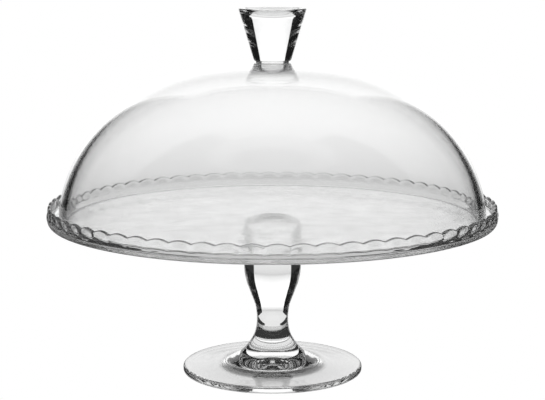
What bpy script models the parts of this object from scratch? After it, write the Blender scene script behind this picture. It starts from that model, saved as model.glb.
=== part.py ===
"""Footed glass cake stand with a lift-off glass dome.

The stand is a pressed plate with a scalloped rim, bonded onto a pedestal that is stem and foot in one.
The cover is a blown dome with a solid knob bonded onto its crown. It sits loose on the plate and lifts off.
Everything is in metres, +Z up. The origin is on the table, on the axis that all the pieces are turned about.
"""

import math

import bmesh
import bpy

# ---- Driving dimensions, in metres ----

GAP = 0.0003                   # air between two pieces that touch
BOND_THICKNESS = 0.0004        # a film of clear adhesive

PLATE_RADIUS = 0.161           # over the ridges between the scallops
PLATE_UNDERSIDE_Z = 0.1095
PLATE_THICKNESS = 0.0043
# The plate's outside, from its flat underside up to the foot of the hollows.
# Each point is so far in from PLATE_RADIUS and so far up from the underside.
RIM_HEEL = [(0.0080, 0.0), (0.0028, 0.0014), (0.0008, 0.0036), (0.0001, 0.0065)]
FLOOR_FILLET = 0.0042          # between the rim's inner wall and the plate's floor
SCALLOPS = 64
SCALLOP_PEAK_Z = 0.1243
SCALLOP_DIP = 0.0018           # how far the edge drops between two peaks
SCALLOP_TURN = math.radians(1.13)   # a peak stands this far round from the front
FLUTE_DEPTH = 0.0006           # thumbprint hollow under each peak, on the outside of the rim
RIM_EDGE_RADIUS = 0.1588       # middle of the rim's rounded edge
RIM_EDGE_ROUND = 0.0012        # half the rim's thickness at that edge

DOME_RADIUS = 0.1525           # outside, at the base
DOME_HEIGHT = 0.1102           # outside, from the base to the crown
DOME_SHOULDER = 2.55           # exponents of the dome's superellipse, across and up
DOME_RISE = 1.71
DOME_WALL = 0.0051
DOME_BASE_ROUND = 0.0012
CROWN_SEAT_RADIUS = 0.0145     # flat on the crown for the knob

KNOB_TOP_RADIUS = 0.0240
KNOB_BASE_RADIUS = 0.0134
KNOB_HEIGHT = 0.0367
KNOB_EDGE_ROUND = 0.0007
DISH_RADIUS = 0.0200           # hollow in the top of the knob
DISH_DEPTH = 0.0047
KNOB_BOND_RADIUS = 0.0118

STEM_BOND_RADIUS = 0.0140
STEM_SEAT_RADIUS = 0.0145      # flat top of the pedestal
# The stem's outline from under its flat top down to the foot: radius and height
STEM_CURVE = [
    (0.0183, 0.1071), (0.0204, 0.1030), (0.0208, 0.0920), (0.0204, 0.0745), (0.0187, 0.0655), (0.0160, 0.0580),
    (0.0124, 0.0480), (0.0113, 0.0380), (0.0125, 0.0290), (0.0158, 0.0221), (0.0216, 0.0148), (0.0260, 0.0118),
    (0.0300, 0.0098), (0.0345, 0.0076), (0.0400, 0.0064), (0.0510, 0.0057),
]
FOOT_RADIUS = 0.0649
FOOT_EDGE_Z = 0.0051           # height of the foot's edge
FOOT_EDGE_ROUND = 0.0018
REST_INNER_RADIUS = 0.0605     # the foot rests on a flat ring out from here
# Hollow under the foot, from the resting ring in to the middle: radius and height
HOLLOW_CURVE = [
    (0.0480, 0.0009), (0.0345, 0.0020), (0.0320, 0.0030), (0.0220, 0.0052), (0.0140, 0.0066), (0.0070, 0.0077),
]
HOLLOW_TOP_Z = 0.0082

PLATE_STEPS_PER_SCALLOP = 4
DOME_SEGMENTS = 72
DOME_STEPS = 10
DISH_STEPS = 4
ROUND_SEGMENTS = 48            # pedestal and knob
BOND_SEGMENTS = 36
CURVE_STEPS = 2                # straight pieces between two points of a drawn curve
TAU = 2 * math.pi

FLOOR_Z = PLATE_UNDERSIDE_Z + PLATE_THICKNESS
DOME_BASE_Z = FLOOR_Z + GAP
STEM_BOND_Z = PLATE_UNDERSIDE_Z - GAP - BOND_THICKNESS
STEM_TOP_Z = STEM_BOND_Z - GAP


# ---- Curves ----

def smooth_curve(points, steps):
    """Catmull-Rom curve through the points, with `steps` pieces between two of them."""
    ends = [points[0]] + points + [points[-1]]
    curve = []
    for before, start, end, after in zip(ends, ends[1:], ends[2:], ends[3:]):
        for step in range(steps):
            t = step / steps
            weights = (
                -t + 2 * t ** 2 - t ** 3,
                2 - 5 * t ** 2 + 3 * t ** 3,
                t + 4 * t ** 2 - 3 * t ** 3,
                t ** 3 - t ** 2,
            )
            curve.append(tuple(
                sum(weight * value for weight, value in zip(weights, values)) / 2
                for values in zip(before, start, end, after)))
    return curve + [points[-1]]


def arc(centre, radius, start_deg, end_deg, steps):
    """Points round a centre in the (radius, height) plane, both ends included."""
    angles = [math.radians(start_deg + (end_deg - start_deg) * k / steps) for k in range(steps + 1)]
    return [(centre[0] + radius * math.cos(a), centre[1] + radius * math.sin(a)) for a in angles]


def dome_point(u):
    """Outer radius and height above the base at parameter u, 0 at the base and pi / 2 at the crown."""
    return (DOME_RADIUS * math.cos(u) ** (2 / DOME_SHOULDER), DOME_HEIGHT * math.sin(u) ** (2 / DOME_RISE))


def dome_wall_point(u):
    """The point of the inner surface that faces dome_point(u), one wall thickness in along the normal."""
    radius, height = dome_point(u)
    across = DOME_SHOULDER / DOME_RADIUS * (radius / DOME_RADIUS) ** (DOME_SHOULDER - 1)
    up = DOME_RISE / DOME_HEIGHT * (height / DOME_HEIGHT) ** (DOME_RISE - 1)
    scale = DOME_WALL / math.hypot(across, up)
    return (radius - scale * across, height - scale * up)


# ---- Solids ----

def glass(name, colour, roughness):
    """Clear glass, or clear adhesive, in the given tint."""
    material = bpy.data.materials.new(name)
    material.use_nodes = True
    shader = material.node_tree.nodes["Principled BSDF"]
    shader.inputs["Base Color"].default_value = (*colour, 1.0)
    shader.inputs["Roughness"].default_value = roughness
    shader.inputs["Metallic"].default_value = 0.0
    shader.inputs["IOR"].default_value = 1.5
    shader.inputs["Transmission Weight"].default_value = 1.0
    return material


def turned(name, outline_at, segments, material, parent, start=0.0):
    """One closed body turned about Z. outline_at(angle) gives its outline, from the axis back to the axis."""
    solid = bmesh.new()
    rings = []
    for k in range(segments):
        angle = start + TAU * k / segments
        outline = outline_at(angle)
        # The angle is measured from the front, -Y, towards +X
        rings.append([(r * math.sin(angle), -r * math.cos(angle), z) for r, z in outline[1:-1]])
    first, last = [solid.verts.new((0, 0, z)) for _, z in (outline[0], outline[-1])]
    columns = [[solid.verts.new(point) for point in ring] for ring in rings]
    for here, there in zip(columns, columns[1:] + columns[:1]):
        solid.faces.new((first, here[0], there[0]))
        solid.faces.new((last, there[-1], here[-1]))
        for j in range(len(here) - 1):
            solid.faces.new((here[j], here[j + 1], there[j + 1], there[j]))
    bmesh.ops.recalc_face_normals(solid, faces=solid.faces)
    mesh = bpy.data.meshes.new(name)
    solid.to_mesh(mesh)
    solid.free()
    mesh.shade_smooth()
    mesh.set_sharp_from_angle(angle=math.radians(35))
    mesh.materials.append(material)
    piece = bpy.data.objects.new(name, mesh)
    bpy.context.scene.collection.objects.link(piece)
    piece.parent = parent
    return piece


def frame_empty(name, height):
    """An empty on the axis, for the pieces that move together."""
    empty = bpy.data.objects.new(name, None)
    empty.location = (0, 0, height)
    bpy.context.scene.collection.objects.link(empty)
    return empty


# ---- The stand ----

def plate_outline(angle):
    """Section of the plate at an angle from the front, from the middle of its underside round to its floor."""
    crest = abs(math.cos(SCALLOPS / 2 * (angle - SCALLOP_TURN)))     # 1 on a peak, 0 between two
    hollow = FLUTE_DEPTH * crest
    edge_z = SCALLOP_PEAK_Z - SCALLOP_DIP * (1 - crest)
    edge_low = edge_z - RIM_EDGE_ROUND
    heel = [(PLATE_RADIUS - inset, PLATE_UNDERSIDE_Z + rise) for inset, rise in RIM_HEEL]
    flute_mid = (edge_low + heel[-1][1]) / 2
    inner_wall = RIM_EDGE_RADIUS - RIM_EDGE_ROUND
    fillet = arc((inner_wall - FLOOR_FILLET, FLOOR_Z + FLOOR_FILLET), FLOOR_FILLET, 0, -90, 2)
    edge = [
        (heel[-1][0] - hollow, flute_mid),
        (RIM_EDGE_RADIUS + RIM_EDGE_ROUND, edge_low),
        (RIM_EDGE_RADIUS, edge_z),
        (inner_wall, edge_low),
    ]
    return [(0, PLATE_UNDERSIDE_Z)] + heel + edge + fillet + [(0, FLOOR_Z)]


def pedestal_outline(_angle):
    """Foot and stem in one, from the top of the hollow underneath round to the flat top of the stem."""
    hollow = [(0, HOLLOW_TOP_Z)] + smooth_curve(HOLLOW_CURVE, CURVE_STEPS)[::-1]
    edge_centre = FOOT_RADIUS - FOOT_EDGE_ROUND
    edge = (arc((edge_centre, FOOT_EDGE_ROUND), FOOT_EDGE_ROUND, -90, 0, 2)
            + arc((edge_centre, FOOT_EDGE_Z - FOOT_EDGE_ROUND), FOOT_EDGE_ROUND, 0, 85, 2))
    stem = smooth_curve(STEM_CURVE, CURVE_STEPS)[::-1]
    return hollow + [(REST_INNER_RADIUS, 0)] + edge + stem + [(STEM_SEAT_RADIUS, STEM_TOP_Z), (0, STEM_TOP_Z)]


def bond_outline(radius, base_z):
    """A thin round film of adhesive."""
    return [(0, base_z), (radius, base_z), (radius, base_z + BOND_THICKNESS), (0, base_z + BOND_THICKNESS)]


def build_stand():
    stand = frame_empty("stand_frame", 0)
    turned("pedestal", pedestal_outline, ROUND_SEGMENTS,
           glass("pedestal_glass", (0.96, 0.98, 0.98), 0.0), stand)
    turned("stem_bond", lambda _angle: bond_outline(STEM_BOND_RADIUS, STEM_BOND_Z), BOND_SEGMENTS,
           glass("stem_adhesive", (0.98, 0.98, 0.96), 0.03), stand)
    turned("plate", plate_outline, SCALLOPS * PLATE_STEPS_PER_SCALLOP,
           glass("plate_glass", (0.95, 0.97, 0.97), 0.01), stand, start=SCALLOP_TURN)


# ---- The cover ----

def dome_outline(_angle):
    """From the flat on the crown down the outside, round the base and up the inside."""
    seat_u = math.acos((CROWN_SEAT_RADIUS / DOME_RADIUS) ** (DOME_SHOULDER / 2))
    low_u = math.asin((DOME_BASE_ROUND / DOME_HEIGHT) ** (DOME_RISE / 2))
    spread = [low_u + (seat_u - low_u) * k / DOME_STEPS for k in range(DOME_STEPS + 1)]
    outside = [dome_point(u) for u in reversed(spread)]
    inside = [dome_wall_point(u) for u in spread]
    inside[0] = (DOME_RADIUS - DOME_WALL, DOME_BASE_ROUND)
    foot = [(DOME_RADIUS - DOME_BASE_ROUND, 0), (DOME_RADIUS - DOME_WALL + DOME_BASE_ROUND, 0)]
    crown_inside = (0, dome_wall_point(math.pi / 2 - 1e-6)[1])
    return [(0, outside[0][1])] + outside + foot + inside + [crown_inside]


def knob_outline(base_z):
    """A solid cone that widens upwards, with a shallow dish in its top."""
    top_z = base_z + KNOB_HEIGHT
    dish_sphere = (DISH_RADIUS ** 2 + DISH_DEPTH ** 2) / (2 * DISH_DEPTH)
    dish_half = math.degrees(math.asin(DISH_RADIUS / dish_sphere))
    dish_centre = (0, top_z - DISH_DEPTH + dish_sphere)
    dish = arc(dish_centre, dish_sphere, -90 + dish_half, -90, DISH_STEPS)
    side = [(KNOB_BASE_RADIUS - KNOB_EDGE_ROUND, base_z), (KNOB_BASE_RADIUS, base_z + KNOB_EDGE_ROUND)]
    edge = arc((KNOB_TOP_RADIUS - KNOB_EDGE_ROUND, top_z - KNOB_EDGE_ROUND), KNOB_EDGE_ROUND, 0, 90, 2)
    return [(0, base_z)] + side + edge + dish[:-1] + [(0, dish[-1][1])]


def build_cover():
    # The cover's own frame is on its base, where it rests on the plate
    cover = frame_empty("cover_lift", DOME_BASE_Z)
    dome = turned("dome", dome_outline, DOME_SEGMENTS, glass("dome_glass", (0.97, 0.98, 0.98), 0.0), cover)
    crown_z = max(vertex.co.z for vertex in dome.data.vertices)
    bond_z = crown_z + GAP
    knob_z = bond_z + BOND_THICKNESS + GAP
    turned("knob_bond", lambda _angle: bond_outline(KNOB_BOND_RADIUS, bond_z), BOND_SEGMENTS,
           glass("knob_adhesive", (0.98, 0.98, 0.96), 0.03), cover)
    turned("knob", lambda _angle: knob_outline(knob_z), ROUND_SEGMENTS,
           glass("knob_glass", (0.97, 0.98, 0.98), 0.0), cover)


def main():
    for thing in list(bpy.data.objects):
        bpy.data.objects.remove(thing)
    build_stand()
    build_cover()


main()
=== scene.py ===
"""The looks of the footed glass cake stand and its dome: each piece again, finer, in clear glass.

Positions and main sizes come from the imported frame. The rest are the design's own values, in metres.
"""

import math

import bmesh
import bpy
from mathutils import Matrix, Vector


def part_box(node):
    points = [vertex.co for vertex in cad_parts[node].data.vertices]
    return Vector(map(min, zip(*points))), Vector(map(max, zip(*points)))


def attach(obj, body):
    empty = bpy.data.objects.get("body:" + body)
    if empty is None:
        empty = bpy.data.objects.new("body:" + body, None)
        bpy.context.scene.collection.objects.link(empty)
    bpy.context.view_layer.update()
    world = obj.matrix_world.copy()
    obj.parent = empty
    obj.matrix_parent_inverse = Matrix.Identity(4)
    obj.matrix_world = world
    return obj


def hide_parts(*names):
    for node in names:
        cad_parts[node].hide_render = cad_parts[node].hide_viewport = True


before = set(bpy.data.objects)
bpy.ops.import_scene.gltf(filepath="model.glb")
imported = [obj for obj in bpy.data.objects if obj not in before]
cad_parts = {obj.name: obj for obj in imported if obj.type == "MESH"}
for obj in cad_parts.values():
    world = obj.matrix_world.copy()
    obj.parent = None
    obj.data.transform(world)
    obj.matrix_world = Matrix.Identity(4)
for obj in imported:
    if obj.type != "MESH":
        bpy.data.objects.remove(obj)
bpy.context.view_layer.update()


# ---- Sizes ----

TAU = 2 * math.pi
PLATE_LOW, PLATE_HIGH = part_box("plate")
DOME_LOW, DOME_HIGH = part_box("dome")
KNOB_LOW, KNOB_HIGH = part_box("knob")
_, FOOT_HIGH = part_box("pedestal")

PLATE_RADIUS = PLATE_HIGH.x
PLATE_THICKNESS = 0.0043
FLOOR_Z = PLATE_LOW.z + PLATE_THICKNESS
# The plate's outside, from its flat underside up to the foot of the hollows in the rim.
# Each point is so far in from PLATE_RADIUS and so far up from the underside.
RIM_HEEL = [(0.0080, 0.0), (0.0028, 0.0014), (0.0008, 0.0036), (0.0001, 0.0065)]
FLOOR_FILLET = 0.0042          # between the rim's inner wall and the plate's floor
SCALLOPS = 64
SCALLOP_DIP = 0.0018           # how far the edge drops between two peaks
SCALLOP_TURN = math.radians(1.13)   # a peak stands this far round from the front
FLUTE_DEPTH = 0.0006           # thumbprint hollow under each peak, on the outside of the rim
FLUTE_SKEW = 0.8               # below 1, the hollow is deepest in its lower half
RIM_LEAN = 3                   # power of the curve that the rim's outside leans in by
RIM_EDGE_INSET = 0.0022        # from PLATE_RADIUS in to the middle of the rim's rounded edge
RIM_EDGE_ROUND = 0.0012        # half the rim's thickness at that edge

DOME_RADIUS = DOME_HIGH.x
DOME_HEIGHT = 0.1102           # outside, from the base to the crown
DOME_SHOULDER = 2.55           # exponents of the dome's superellipse, across and up
DOME_RISE = 1.71
DOME_WALL = 0.0051
DOME_BASE_ROUND = 0.0012
CROWN_SEAT_RADIUS = 0.0145     # flat on the crown for the knob

KNOB_TOP_RADIUS = KNOB_HIGH.x
KNOB_BASE_RADIUS = 0.0134
KNOB_EDGE_ROUND = 0.0007
DISH_RADIUS = 0.0200           # hollow in the top of the knob
DISH_DEPTH = 0.0047
KNOB_BOND_RADIUS = 0.0118

STEM_BOND_RADIUS = 0.0140
STEM_SEAT_RADIUS = 0.0145      # flat top of the pedestal
# The stem's outline from under its flat top down to the foot: radius and height
STEM_CURVE = [
    (0.0183, 0.1071), (0.0204, 0.1030), (0.0208, 0.0920), (0.0204, 0.0745), (0.0187, 0.0655),
    (0.0160, 0.0580), (0.0124, 0.0480), (0.0113, 0.0380), (0.0125, 0.0290), (0.0158, 0.0221),
    (0.0216, 0.0148), (0.0260, 0.0118), (0.0300, 0.0098), (0.0345, 0.0076), (0.0400, 0.0064),
    (0.0510, 0.0057),
]
FOOT_RADIUS = FOOT_HIGH.x
FOOT_EDGE_Z = 0.0051           # height of the foot's edge
FOOT_EDGE_ROUND = 0.0018
REST_INNER_RADIUS = 0.0605     # the foot rests on a flat ring out from here
# Hollow under the foot, from the resting ring in to the middle: radius and height
HOLLOW_CURVE = [
    (0.0480, 0.0009), (0.0345, 0.0020), (0.0320, 0.0030), (0.0220, 0.0052), (0.0140, 0.0066),
    (0.0070, 0.0077),
]
HOLLOW_TOP_Z = 0.0082

BOND_OVERLAP = 0.00002         # the adhesive wets the glass on both sides
CREASE = 0.0002                # how close to its edge a flat face starts to turn

PLATE_SEGMENTS = SCALLOPS * 16
ROUND_SEGMENTS = 192           # pedestal and knob
DOME_SEGMENTS = 256
BOND_SEGMENTS = 96
HEEL_STEPS = 5
FLUTE_STEPS = 12
RIM_EDGE_STEPS = 10
RIM_WALL_STEPS = 3
ROUND_STEPS = 8                # the plate's fillet, the foot's edge and the hollow's curve
SMALL_ROUND_STEPS = 6          # the dome's base and the knob's two edges
STEM_STEPS = 12
DOME_STEPS = 72
KNOB_SIDE_STEPS = 12
DISH_STEPS = 24
FACE_STEPS = 4                 # a flat round face
SHARP_DEG = 40                 # edges that turn further than this stay sharp


# ---- Curves: lists of points in the (radius, height) plane ----

def smooth_curve(points, steps):
    """Catmull-Rom curve through the points, with `steps` pieces between two of them."""
    ends = [points[0]] + points + [points[-1]]
    curve = []
    for before, start, end, after in zip(ends, ends[1:], ends[2:], ends[3:]):
        for step in range(steps):
            t = step / steps
            weights = (
                -t + 2 * t ** 2 - t ** 3,
                2 - 5 * t ** 2 + 3 * t ** 3,
                t + 4 * t ** 2 - 3 * t ** 3,
                t ** 3 - t ** 2,
            )
            curve.append(tuple(
                sum(weight * value for weight, value in zip(weights, values)) / 2
                for values in zip(before, start, end, after)))
    return curve + [points[-1]]


def arc(centre, radius, start_deg, end_deg, steps):
    """Points round a centre, both ends included."""
    angles = [math.radians(start_deg + (end_deg - start_deg) * k / steps) for k in range(steps + 1)]
    return [(centre[0] + radius * math.cos(a), centre[1] + radius * math.sin(a)) for a in angles]


def line(start, end, steps):
    """Points from start up to, but not at, end."""
    return [tuple(a + (b - a) * k / steps for a, b in zip(start, end)) for k in range(steps)]


def disc(radius, z):
    """Points from the axis out to the edge of a flat round face, with a ring just inside the edge."""
    return line((0, z), (radius - CREASE, z), FACE_STEPS) + [(radius - CREASE, z), (radius, z)]


# ---- Outlines: sections of the pieces, from the axis round to the axis again ----

def plate_outline(angle):
    """Section of the plate at an angle from the front, from its underside round to its floor."""
    crest = abs(math.cos(SCALLOPS / 2 * (angle - SCALLOP_TURN)))     # 1 on a peak, 0 between two
    edge_low = PLATE_HIGH.z - SCALLOP_DIP * (1 - crest) - RIM_EDGE_ROUND
    edge_radius = PLATE_RADIUS - RIM_EDGE_INSET
    heel = [(PLATE_RADIUS - inset, PLATE_LOW.z + rise) for inset, rise in RIM_HEEL]
    low_radius, low_z = heel[-1]
    flute = []
    for k in range(FLUTE_STEPS):
        t = k / FLUTE_STEPS
        radius = low_radius + (edge_radius + RIM_EDGE_ROUND - low_radius) * t ** RIM_LEAN
        hollow = FLUTE_DEPTH * crest * math.sin(math.pi * t ** FLUTE_SKEW)
        flute.append((radius - hollow, low_z + (edge_low - low_z) * t))
    edge = arc((edge_radius, edge_low), RIM_EDGE_ROUND, 0, 180, RIM_EDGE_STEPS)
    wall_radius = edge_radius - RIM_EDGE_ROUND
    wall = line((wall_radius, edge_low), (wall_radius, FLOOR_Z + FLOOR_FILLET), RIM_WALL_STEPS)
    floor_radius = wall_radius - FLOOR_FILLET
    fillet = arc((floor_radius, FLOOR_Z + FLOOR_FILLET), FLOOR_FILLET, 0, -90, ROUND_STEPS)
    underside = disc(heel[0][0], PLATE_LOW.z)
    floor = disc(floor_radius, FLOOR_Z)[::-1]
    return (underside[:-1] + smooth_curve(heel, HEEL_STEPS)[:-1] + flute + edge + wall[1:]
            + fillet + floor[1:])


def pedestal_outline(_angle):
    """Foot and stem in one, from the top of the hollow underneath round to the flat top of the stem."""
    under = smooth_curve([(REST_INNER_RADIUS, 0)] + HOLLOW_CURVE, ROUND_STEPS)[::-1]
    edge_centre = FOOT_RADIUS - FOOT_EDGE_ROUND
    rest = [(REST_INNER_RADIUS + CREASE, 0), (edge_centre - CREASE, 0)]
    low_edge = arc((edge_centre, FOOT_EDGE_ROUND), FOOT_EDGE_ROUND, -90, 0, ROUND_STEPS)
    high_edge = arc((edge_centre, FOOT_EDGE_Z - FOOT_EDGE_ROUND), FOOT_EDGE_ROUND, 0, 85, ROUND_STEPS)
    seat = disc(STEM_SEAT_RADIUS, FOOT_HIGH.z)[::-1]
    stem = smooth_curve([seat[0]] + STEM_CURVE + [high_edge[-1]], STEM_STEPS)[::-1]
    return [(0, HOLLOW_TOP_Z)] + under + rest + low_edge + high_edge[:-1] + stem[:-1] + seat


def dome_point(u):
    """Outer radius and height above the base at parameter u, 0 at the base and pi / 2 at the crown."""
    return (DOME_RADIUS * math.cos(u) ** (2 / DOME_SHOULDER), DOME_HEIGHT * math.sin(u) ** (2 / DOME_RISE))


def dome_wall_point(u):
    """The point of the inner surface that faces dome_point(u), one wall thickness in along the normal."""
    radius, height = dome_point(u)
    across = DOME_SHOULDER / DOME_RADIUS * (radius / DOME_RADIUS) ** (DOME_SHOULDER - 1)
    up = DOME_RISE / DOME_HEIGHT * (height / DOME_HEIGHT) ** (DOME_RISE - 1)
    scale = DOME_WALL / math.hypot(across, up)
    return (radius - scale * across, height - scale * up)


def dome_outline(_angle):
    """From the flat on the crown down the outside, round the base and up the inside."""
    seat_u = math.acos((CROWN_SEAT_RADIUS / DOME_RADIUS) ** (DOME_SHOULDER / 2))
    low_u = math.asin((DOME_BASE_ROUND / DOME_HEIGHT) ** (DOME_RISE / 2))
    spread = [low_u + (seat_u - low_u) * k / DOME_STEPS for k in range(DOME_STEPS + 1)]
    outside = [dome_point(u) for u in reversed(spread)]
    inside = [dome_wall_point(u) for u in spread]
    outer_centre = (DOME_RADIUS - DOME_BASE_ROUND, DOME_BASE_ROUND)
    inner_centre = (DOME_RADIUS - DOME_WALL + DOME_BASE_ROUND, DOME_BASE_ROUND)
    base = (arc(outer_centre, DOME_BASE_ROUND, -10, -90, SMALL_ROUND_STEPS)
            + arc(inner_centre, DOME_BASE_ROUND, -90, -170, SMALL_ROUND_STEPS))
    # Taken a hair short of the crown, where the superellipse still has a normal
    crown_inside = (0, dome_wall_point(math.pi / 2 - 1e-6)[1])
    points = disc(*outside[0])[:-1] + outside + base + inside[1:] + [crown_inside]
    return [(radius, height + DOME_LOW.z) for radius, height in points]


def knob_outline(_angle):
    """A solid cone that widens upwards, with a shallow dish in its top."""
    dish_sphere = (DISH_RADIUS ** 2 + DISH_DEPTH ** 2) / (2 * DISH_DEPTH)
    dish_half = math.degrees(math.asin(DISH_RADIUS / dish_sphere))
    dish_centre = (0, KNOB_HIGH.z - DISH_DEPTH + dish_sphere)
    dish = arc(dish_centre, dish_sphere, -90 + dish_half, -90, DISH_STEPS)
    base_centre = (KNOB_BASE_RADIUS - KNOB_EDGE_ROUND, KNOB_LOW.z + KNOB_EDGE_ROUND)
    top_centre = (KNOB_TOP_RADIUS - KNOB_EDGE_ROUND, KNOB_HIGH.z - KNOB_EDGE_ROUND)
    base_edge = arc(base_centre, KNOB_EDGE_ROUND, -90, 0, SMALL_ROUND_STEPS)
    top_edge = arc(top_centre, KNOB_EDGE_ROUND, 0, 90, SMALL_ROUND_STEPS)
    side = line(base_edge[-1], top_edge[0], KNOB_SIDE_STEPS)
    base = disc(base_centre[0], KNOB_LOW.z)
    return base[:-1] + base_edge + side[1:] + top_edge + dish[:-1] + [(0, dish[-1][1])]


def bond_outline(radius, low, high):
    """A film of adhesive that fills the joint from the glass at height low to the glass at height high."""
    return disc(radius, low - BOND_OVERLAP) + disc(radius, high + BOND_OVERLAP)[::-1]


# ---- Meshes ----

def turned(name, outline_at, segments, start=0.0):
    """One closed body turned about Z. outline_at(angle) gives its outline at that angle."""
    solid = bmesh.new()
    columns = []
    for k in range(segments):
        angle = start + TAU * k / segments
        outline = outline_at(angle)
        # The angle is measured from the front, -Y, towards +X
        columns.append([solid.verts.new((r * math.sin(angle), -r * math.cos(angle), z))
                        for r, z in outline[1:-1]])
    first, last = [solid.verts.new((0, 0, z)) for _, z in (outline[0], outline[-1])]
    for here, there in zip(columns, columns[1:] + columns[:1]):
        solid.faces.new((first, here[0], there[0]))
        solid.faces.new((last, there[-1], here[-1]))
        for j in range(len(here) - 1):
            solid.faces.new((here[j], here[j + 1], there[j + 1], there[j]))
    bmesh.ops.recalc_face_normals(solid, faces=solid.faces)
    mesh = bpy.data.meshes.new(name)
    solid.to_mesh(mesh)
    solid.free()
    mesh.shade_smooth()
    mesh.set_sharp_from_angle(angle=math.radians(SHARP_DEG))
    piece = bpy.data.objects.new(name, mesh)
    bpy.context.scene.collection.objects.link(piece)
    return piece


# ---- Materials ----

IOR = 1.5                      # of soda-lime glass and of the adhesive
NOISE_LOW = 0.3                # nearly all of a noise texture lies between these two
NOISE_HIGH = 0.7
HAZE_SPREAD = 0.4              # how far roughness strays either side of its mean, as a share of it
DEEPER_TINT = 0.995            # brightness of the tint in the dull places
HAZE_FADE = 0.004              # width of the ring where the haze dies away
GLASS_TINT = (0.992, 0.994, 0.993)


def add_node(material, kind, operation=None, **values):
    """A new node with some of its input sockets set, named with an underscore for each space."""
    node = material.node_tree.nodes.new(kind)
    if operation:
        node.operation = operation
    for socket, value in values.items():
        node.inputs[socket.replace("_", " ")].default_value = value
    return node


def axis_distance(material, where):
    """Socket that gives how far a point lies from the upright axis through its object's origin."""
    flat = add_node(material, "ShaderNodeVectorMath", "MULTIPLY")
    flat.inputs[1].default_value = (1, 1, 0)
    out = add_node(material, "ShaderNodeVectorMath", "LENGTH")
    material.node_tree.links.new(where, flat.inputs[0])
    material.node_tree.links.new(flat.outputs["Vector"], out.inputs[0])
    return out.outputs["Value"]


def glass(name, tint, haze, haze_size, ripple=0.0, ripple_size=0.03, clear_from=None):
    """Clear glass with a slightly uneven surface: a haze that comes and goes, and a ripple in its height.

    haze is the mean roughness, and haze_size how far apart its clear and dull places lie. ripple is the
    ripple's height, and ripple_size its length. Further from the axis than clear_from, there is no haze.
    """
    material = bpy.data.materials.new(name)
    material.use_nodes = True
    links = material.node_tree.links
    shader = material.node_tree.nodes["Principled BSDF"]
    shader.inputs["IOR"].default_value = IOR
    shader.inputs["Transmission Weight"].default_value = 1.0
    where = add_node(material, "ShaderNodeTexCoord").outputs["Object"]

    cloud = add_node(material, "ShaderNodeTexNoise", Scale=1 / haze_size, Detail=3.0)
    links.new(where, cloud.inputs["Vector"])
    dullness = add_node(material, "ShaderNodeMapRange", From_Min=NOISE_LOW, From_Max=NOISE_HIGH,
                        To_Min=(1 - HAZE_SPREAD) * haze, To_Max=(1 + HAZE_SPREAD) * haze)
    links.new(cloud.outputs["Fac"], dullness.inputs["Value"])
    roughness = dullness.outputs["Result"]
    if clear_from:
        fade = add_node(material, "ShaderNodeMapRange", From_Min=clear_from - HAZE_FADE,
                        From_Max=clear_from, To_Min=1.0, To_Max=0.0)
        links.new(axis_distance(material, where), fade.inputs["Value"])
        faded = add_node(material, "ShaderNodeMath", "MULTIPLY")
        links.new(roughness, faded.inputs[0])
        links.new(fade.outputs["Result"], faded.inputs[1])
        roughness = faded.outputs["Value"]
    links.new(roughness, shader.inputs["Roughness"])

    shade = add_node(material, "ShaderNodeValToRGB")
    ends = zip(shade.color_ramp.elements, (NOISE_LOW, NOISE_HIGH), (1.0, DEEPER_TINT))
    for stop, reach, strength in ends:
        stop.position = reach
        stop.color = (*(channel * strength for channel in tint), 1.0)
    links.new(cloud.outputs["Fac"], shade.inputs["Fac"])
    links.new(shade.outputs["Color"], shader.inputs["Base Color"])

    if ripple:
        wave = add_node(material, "ShaderNodeTexNoise", Scale=1 / ripple_size, Detail=1.0)
        bump = add_node(material, "ShaderNodeBump", Distance=ripple, Strength=1.0)
        links.new(where, wave.inputs["Vector"])
        links.new(wave.outputs["Fac"], bump.inputs["Height"])
        links.new(bump.outputs["Normal"], shader.inputs["Normal"])
    return material


# ---- Pieces ----

def place(piece, body, slot, material, *nodes):
    """Give a piece its material, and say what it rides on and stands for. The slot is not used."""
    piece.data.materials.append(material)
    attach(piece, body)
    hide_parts(*nodes)


def stem_bond_outline(_angle):
    return bond_outline(STEM_BOND_RADIUS, FOOT_HIGH.z, PLATE_LOW.z)


def knob_bond_outline(_angle):
    return bond_outline(KNOB_BOND_RADIUS, DOME_HIGH.z, KNOB_LOW.z)


plate_glass = glass("plate_glass", GLASS_TINT, haze=0.12, haze_size=0.012, ripple=0.00003,
                    clear_from=PLATE_RADIUS - RIM_HEEL[0][0])
pedestal_glass = glass("pedestal_glass", GLASS_TINT, haze=0.002, haze_size=0.009, ripple=0.000005,
                       ripple_size=0.02)
dome_glass = glass("dome_glass", (0.994, 0.995, 0.995), haze=0.03, haze_size=0.025)
knob_glass = glass("knob_glass", GLASS_TINT, haze=0.002, haze_size=0.006, ripple=0.000005,
                   ripple_size=0.012)
adhesive = glass("clear_adhesive", (0.992, 0.995, 0.990), haze=0.01, haze_size=0.003)

place(turned("plate_glass_body", plate_outline, PLATE_SEGMENTS, start=SCALLOP_TURN),
      "stand", "plate_glass", plate_glass, "plate")
place(turned("pedestal_glass_body", pedestal_outline, ROUND_SEGMENTS),
      "stand", "pedestal_glass", pedestal_glass, "pedestal")
place(turned("stem_bond_film", stem_bond_outline, BOND_SEGMENTS),
      "stand", "clear_adhesive", adhesive, "stem_bond")
place(turned("dome_glass_body", dome_outline, DOME_SEGMENTS),
      "cover", "dome_glass", dome_glass, "dome")
place(turned("knob_glass_body", knob_outline, ROUND_SEGMENTS),
      "cover", "knob_glass", knob_glass, "knob")
place(turned("knob_bond_film", knob_bond_outline, BOND_SEGMENTS),
      "cover", "clear_adhesive", adhesive, "knob_bond")


# ---- Studio ----
# Clear glass shows only what is around it. So the camera sees a white floor and backdrop, and the glass
# sees sheets of light on the table and behind it, with dark gaps between them that draw its black bands.

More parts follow.
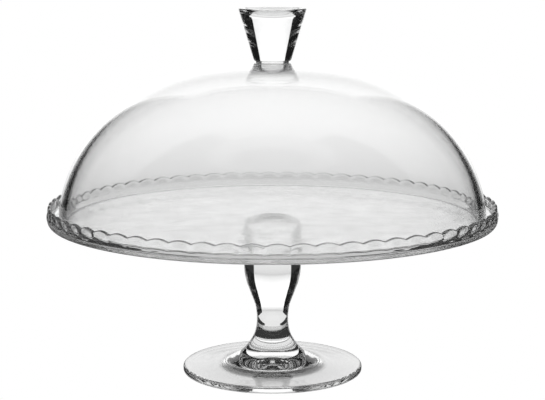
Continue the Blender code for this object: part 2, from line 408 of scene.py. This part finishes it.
CAMERA_BACK = 1.09733          # from the object's axis
CAMERA_HEIGHT = 0.30740
CAMERA_PITCH = 0.1646          # radians below level
CAMERA_LENS = 102.38           # millimetres, on a sensor 36 mm wide
SENSOR_WIDTH = 36

FLOOR_SIDE = 20
BACK_Y = 0.9                   # backdrop and backlight stand this far behind the axis
TABLE_Z = -0.0005              # just under the foot
LIGHT_TOP = 1.2
LIGHT_HALF = 0.50              # half the backlight's width
HORIZON = 0.66                 # strength of the light where the table meets the backlight
# Heights above the table, and the backlight's strength there
BACKLIGHT_STOPS = [
    (0.0, HORIZON), (0.03, 0.85), (0.08, 1.0), (0.11, 1.08), (0.2, 1.2), (0.5, 1.1), (0.7, 0.75),
    (LIGHT_TOP, 0.7),
]
# The sheet of light on the table widens behind the foot: distances behind the axis, and half its width
TABLE_LIGHT_SHAPE = [(0.0, 0.012), (0.09, 0.028), (0.13, 0.17), (0.45, 0.24), (BACK_Y, LIGHT_HALF)]
TABLE_LIGHT_STOPS = [(0.07, 0.85), (0.4, 0.85), (BACK_Y, HORIZON)]
FRONT_LIGHT_SHAPE = [(-0.6, 0.5), (-0.08, 0.5)]
FRONT_LIGHT = 0.6
# A wider, dim sheet under the others lifts the dark gaps beside them a little
EDGE_LIGHT_SHAPE = [(-0.08, 0.58), (BACK_Y, 0.58)]
EDGE_LIGHT = 0.035
# Under the foot: distances from the axis, and the light's strength there. It is dark below the hollow, a
# painted shadow of the foot's hub on the table, and bright below the rim
UNDER_LIGHT_RADIUS = 0.066
UNDER_LIGHT_SIDES = 48
UNDER_LIGHT_AND_SHADOW_STOPS = [(0.0, 0.04), (0.034, 0.04), (0.040, 0.5), (UNDER_LIGHT_RADIUS, 0.6)]
SURROUND = 0.01                # strength of the light from everywhere else
LIGHT_BOUNCES = 32             # light crosses many faces of glass before it leaves


def glow(name, strength=1.0):
    """A light that is the same all over."""
    material = bpy.data.materials.new(name)
    material.use_nodes = True
    material.node_tree.nodes.clear()
    light = add_node(material, "ShaderNodeEmission", Strength=strength)
    out = add_node(material, "ShaderNodeOutputMaterial")
    material.node_tree.links.new(light.outputs["Emission"], out.inputs["Surface"])
    return material


def graded_glow(name, axis, stops):
    """A light that changes along X, Y or Z of its sheet, or outwards from its middle where axis is OUT.

    stops are distances, with the light's strength at each.
    """
    reaches, strengths = zip(*stops)
    brightest = max(strengths)
    material = glow(name, brightest)
    links = material.node_tree.links
    where = add_node(material, "ShaderNodeTexCoord").outputs["Object"]
    if axis == "OUT":
        distance = axis_distance(material, where)
    else:
        split = add_node(material, "ShaderNodeSeparateXYZ")
        links.new(where, split.inputs["Vector"])
        distance = split.outputs[axis]
    spread = add_node(material, "ShaderNodeMapRange", From_Min=reaches[0], From_Max=reaches[-1])
    ramp = add_node(material, "ShaderNodeValToRGB")
    points = ramp.color_ramp.elements
    for _ in stops[2:]:
        points.new(0.5)
    for point, reach, strength in zip(points, reaches, strengths):
        point.position = (reach - reaches[0]) / (reaches[-1] - reaches[0])
        point.color = (*[strength / brightest] * 3, 1)
    links.new(distance, spread.inputs["Value"])
    links.new(spread.outputs["Result"], ramp.inputs["Fac"])
    links.new(ramp.outputs["Color"], material.node_tree.nodes["Emission"].inputs["Color"])
    return material


def panel(name, corners, material, parent=None, seen_by="camera"):
    """A flat sheet, seen by the camera or else by the glass: by light that passes through or off it."""
    mesh = bpy.data.meshes.new(name)
    mesh.from_pydata(corners, [], [tuple(range(len(corners)))])
    mesh.materials.append(material)
    sheet = bpy.data.objects.new(name, mesh)
    sheet.parent = parent
    sheet.visible_camera = seen_by == "camera"
    sheet.visible_transmission = seen_by == "glass"
    sheet.visible_glossy = seen_by == "glass"
    bpy.context.scene.collection.objects.link(sheet)


def level(shape, z):
    """Corners of a sheet that lies at height z, from half its width at each distance behind the axis."""
    right = [(half, y, z) for y, half in shape]
    return right + [(-x, y, z) for x, y, z in reversed(right)]


def upright(half_width, y, top):
    """Corners of a sheet that stands on the table."""
    return [(-half_width, y, TABLE_Z), (half_width, y, TABLE_Z), (half_width, y, top), (-half_width, y, top)]


def add_camera():
    data = bpy.data.cameras.new("camera")
    data.lens = CAMERA_LENS
    data.sensor_width = SENSOR_WIDTH
    camera = bpy.data.objects.new("camera", data)
    camera.location = (0, -CAMERA_BACK, CAMERA_HEIGHT)
    camera.rotation_euler = (math.pi / 2 - CAMERA_PITCH, 0, 0)
    bpy.context.scene.collection.objects.link(camera)
    bpy.context.scene.camera = camera
    return camera


def add_rig(camera):
    """The empty that the sheets hang on. It keeps them behind the object, whichever side is looked at."""
    rig = bpy.data.objects.new("light_rig", None)
    bpy.context.scene.collection.objects.link(rig)
    facing = rig.constraints.new("LOCKED_TRACK")
    facing.target = camera
    facing.track_axis = "TRACK_NEGATIVE_Y"
    facing.lock_axis = "LOCK_Z"
    return rig


def add_sheets(rig):
    white = glow("white_light")
    panel("floor", level([(-FLOOR_SIDE, FLOOR_SIDE), (FLOOR_SIDE, FLOOR_SIDE)], TABLE_Z), white)
    panel("backdrop", upright(BACK_Y, BACK_Y, LIGHT_TOP), white, rig)
    panel("backlight", upright(LIGHT_HALF, BACK_Y, LIGHT_TOP),
          graded_glow("backlight", "Z", BACKLIGHT_STOPS), rig, "glass")
    panel("table_light", level(TABLE_LIGHT_SHAPE, TABLE_Z),
          graded_glow("table_light", "Y", TABLE_LIGHT_STOPS), rig, "glass")
    panel("front_table_light", level(FRONT_LIGHT_SHAPE, TABLE_Z),
          glow("front_table_light", FRONT_LIGHT), rig, "glass")
    panel("table_edge_light", level(EDGE_LIGHT_SHAPE, 2 * TABLE_Z),
          glow("table_edge_light", EDGE_LIGHT), rig, "glass")
    # The sheet under the foot is a light whose dark middle is a painted shadow of the foot's hub
    circle = arc((0, 0), UNDER_LIGHT_RADIUS, 0, 360, UNDER_LIGHT_SIDES)[:-1]
    panel("under_light_with_painted_shadow", [(x, y, TABLE_Z / 2) for x, y in circle],
          graded_glow("under_light_with_painted_shadow", "OUT", UNDER_LIGHT_AND_SHADOW_STOPS), rig, "glass")


add_sheets(add_rig(add_camera()))

world = bpy.data.worlds.new("studio")
world.use_nodes = True
background = world.node_tree.nodes["Background"]
background.inputs["Color"].default_value = (1, 1, 1, 1)
background.inputs["Strength"].default_value = SURROUND
bpy.context.scene.world = world

scene = bpy.context.scene
scene.view_settings.view_transform = "Standard"
scene.cycles.max_bounces = LIGHT_BOUNCES
scene.cycles.transmission_bounces = LIGHT_BOUNCES
scene.cycles.glossy_bounces = LIGHT_BOUNCES
scene.cycles.use_denoising = True
